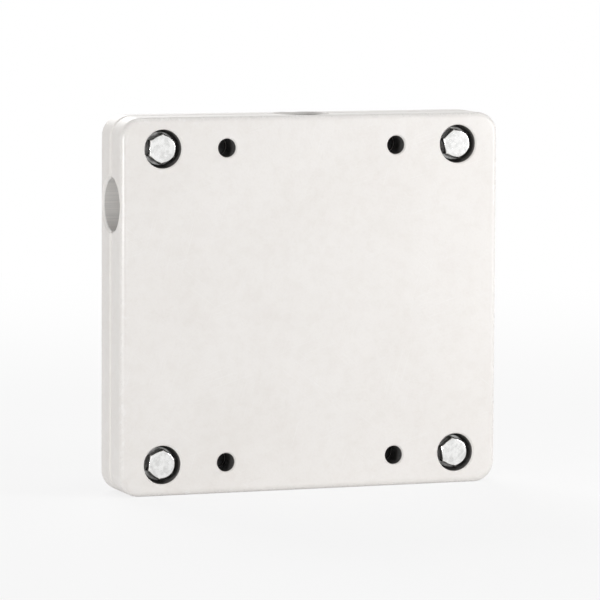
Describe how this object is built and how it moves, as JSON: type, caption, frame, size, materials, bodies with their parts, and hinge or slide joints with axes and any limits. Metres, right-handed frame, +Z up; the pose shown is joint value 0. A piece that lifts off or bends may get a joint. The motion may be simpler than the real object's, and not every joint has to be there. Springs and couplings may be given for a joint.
{
  "type": "outboard motor bracket",
  "caption": "Rail-mounted bracket for a small outboard motor: two plastic plates bolted together around a rail and an upright post, giving a flat pad for the motor's clamp.",
  "frame": {"origin": "on the axis of the rail groove, at the middle of the plates' width", "axes": "+X along the rail, to the right as seen from the front plate; +Y from the front plate to the back plate; +Z up"},
  "size_m": [0.192, 0.0364, 0.18],
  "materials": {
    "plate_plastic": "matt moulded, off-white",
    "bolt_steel": "bright stainless, lightly worn",
    "washer_steel": "stamped stainless",
    "nut_steel": "bright stainless",
    "insert_nylon": "natural nylon"
  },
  "bodies": {
    "root": {"front_plate": "plate_plastic", "back_plate": "plate_plastic", "bolt_top_left": "bolt_steel", "head_washer_top_left": "washer_steel", "nut_washer_top_left": "washer_steel", "lock_nut_top_left": "nut_steel", "nut_insert_top_left": "insert_nylon", "bolt_top_right": "bolt_steel", "head_washer_top_right": "washer_steel", "nut_washer_top_right": "washer_steel", "lock_nut_top_right": "nut_steel", "nut_insert_top_right": "insert_nylon", "bolt_bottom_left": "bolt_steel", "head_washer_bottom_left": "washer_steel", "nut_washer_bottom_left": "washer_steel", "lock_nut_bottom_left": "nut_steel", "nut_insert_bottom_left": "insert_nylon", "bolt_bottom_right": "bolt_steel", "head_washer_bottom_right": "washer_steel", "nut_washer_bottom_right": "washer_steel", "lock_nut_bottom_right": "nut_steel", "nut_insert_bottom_right": "insert_nylon"}
  },
  "joints": []
}
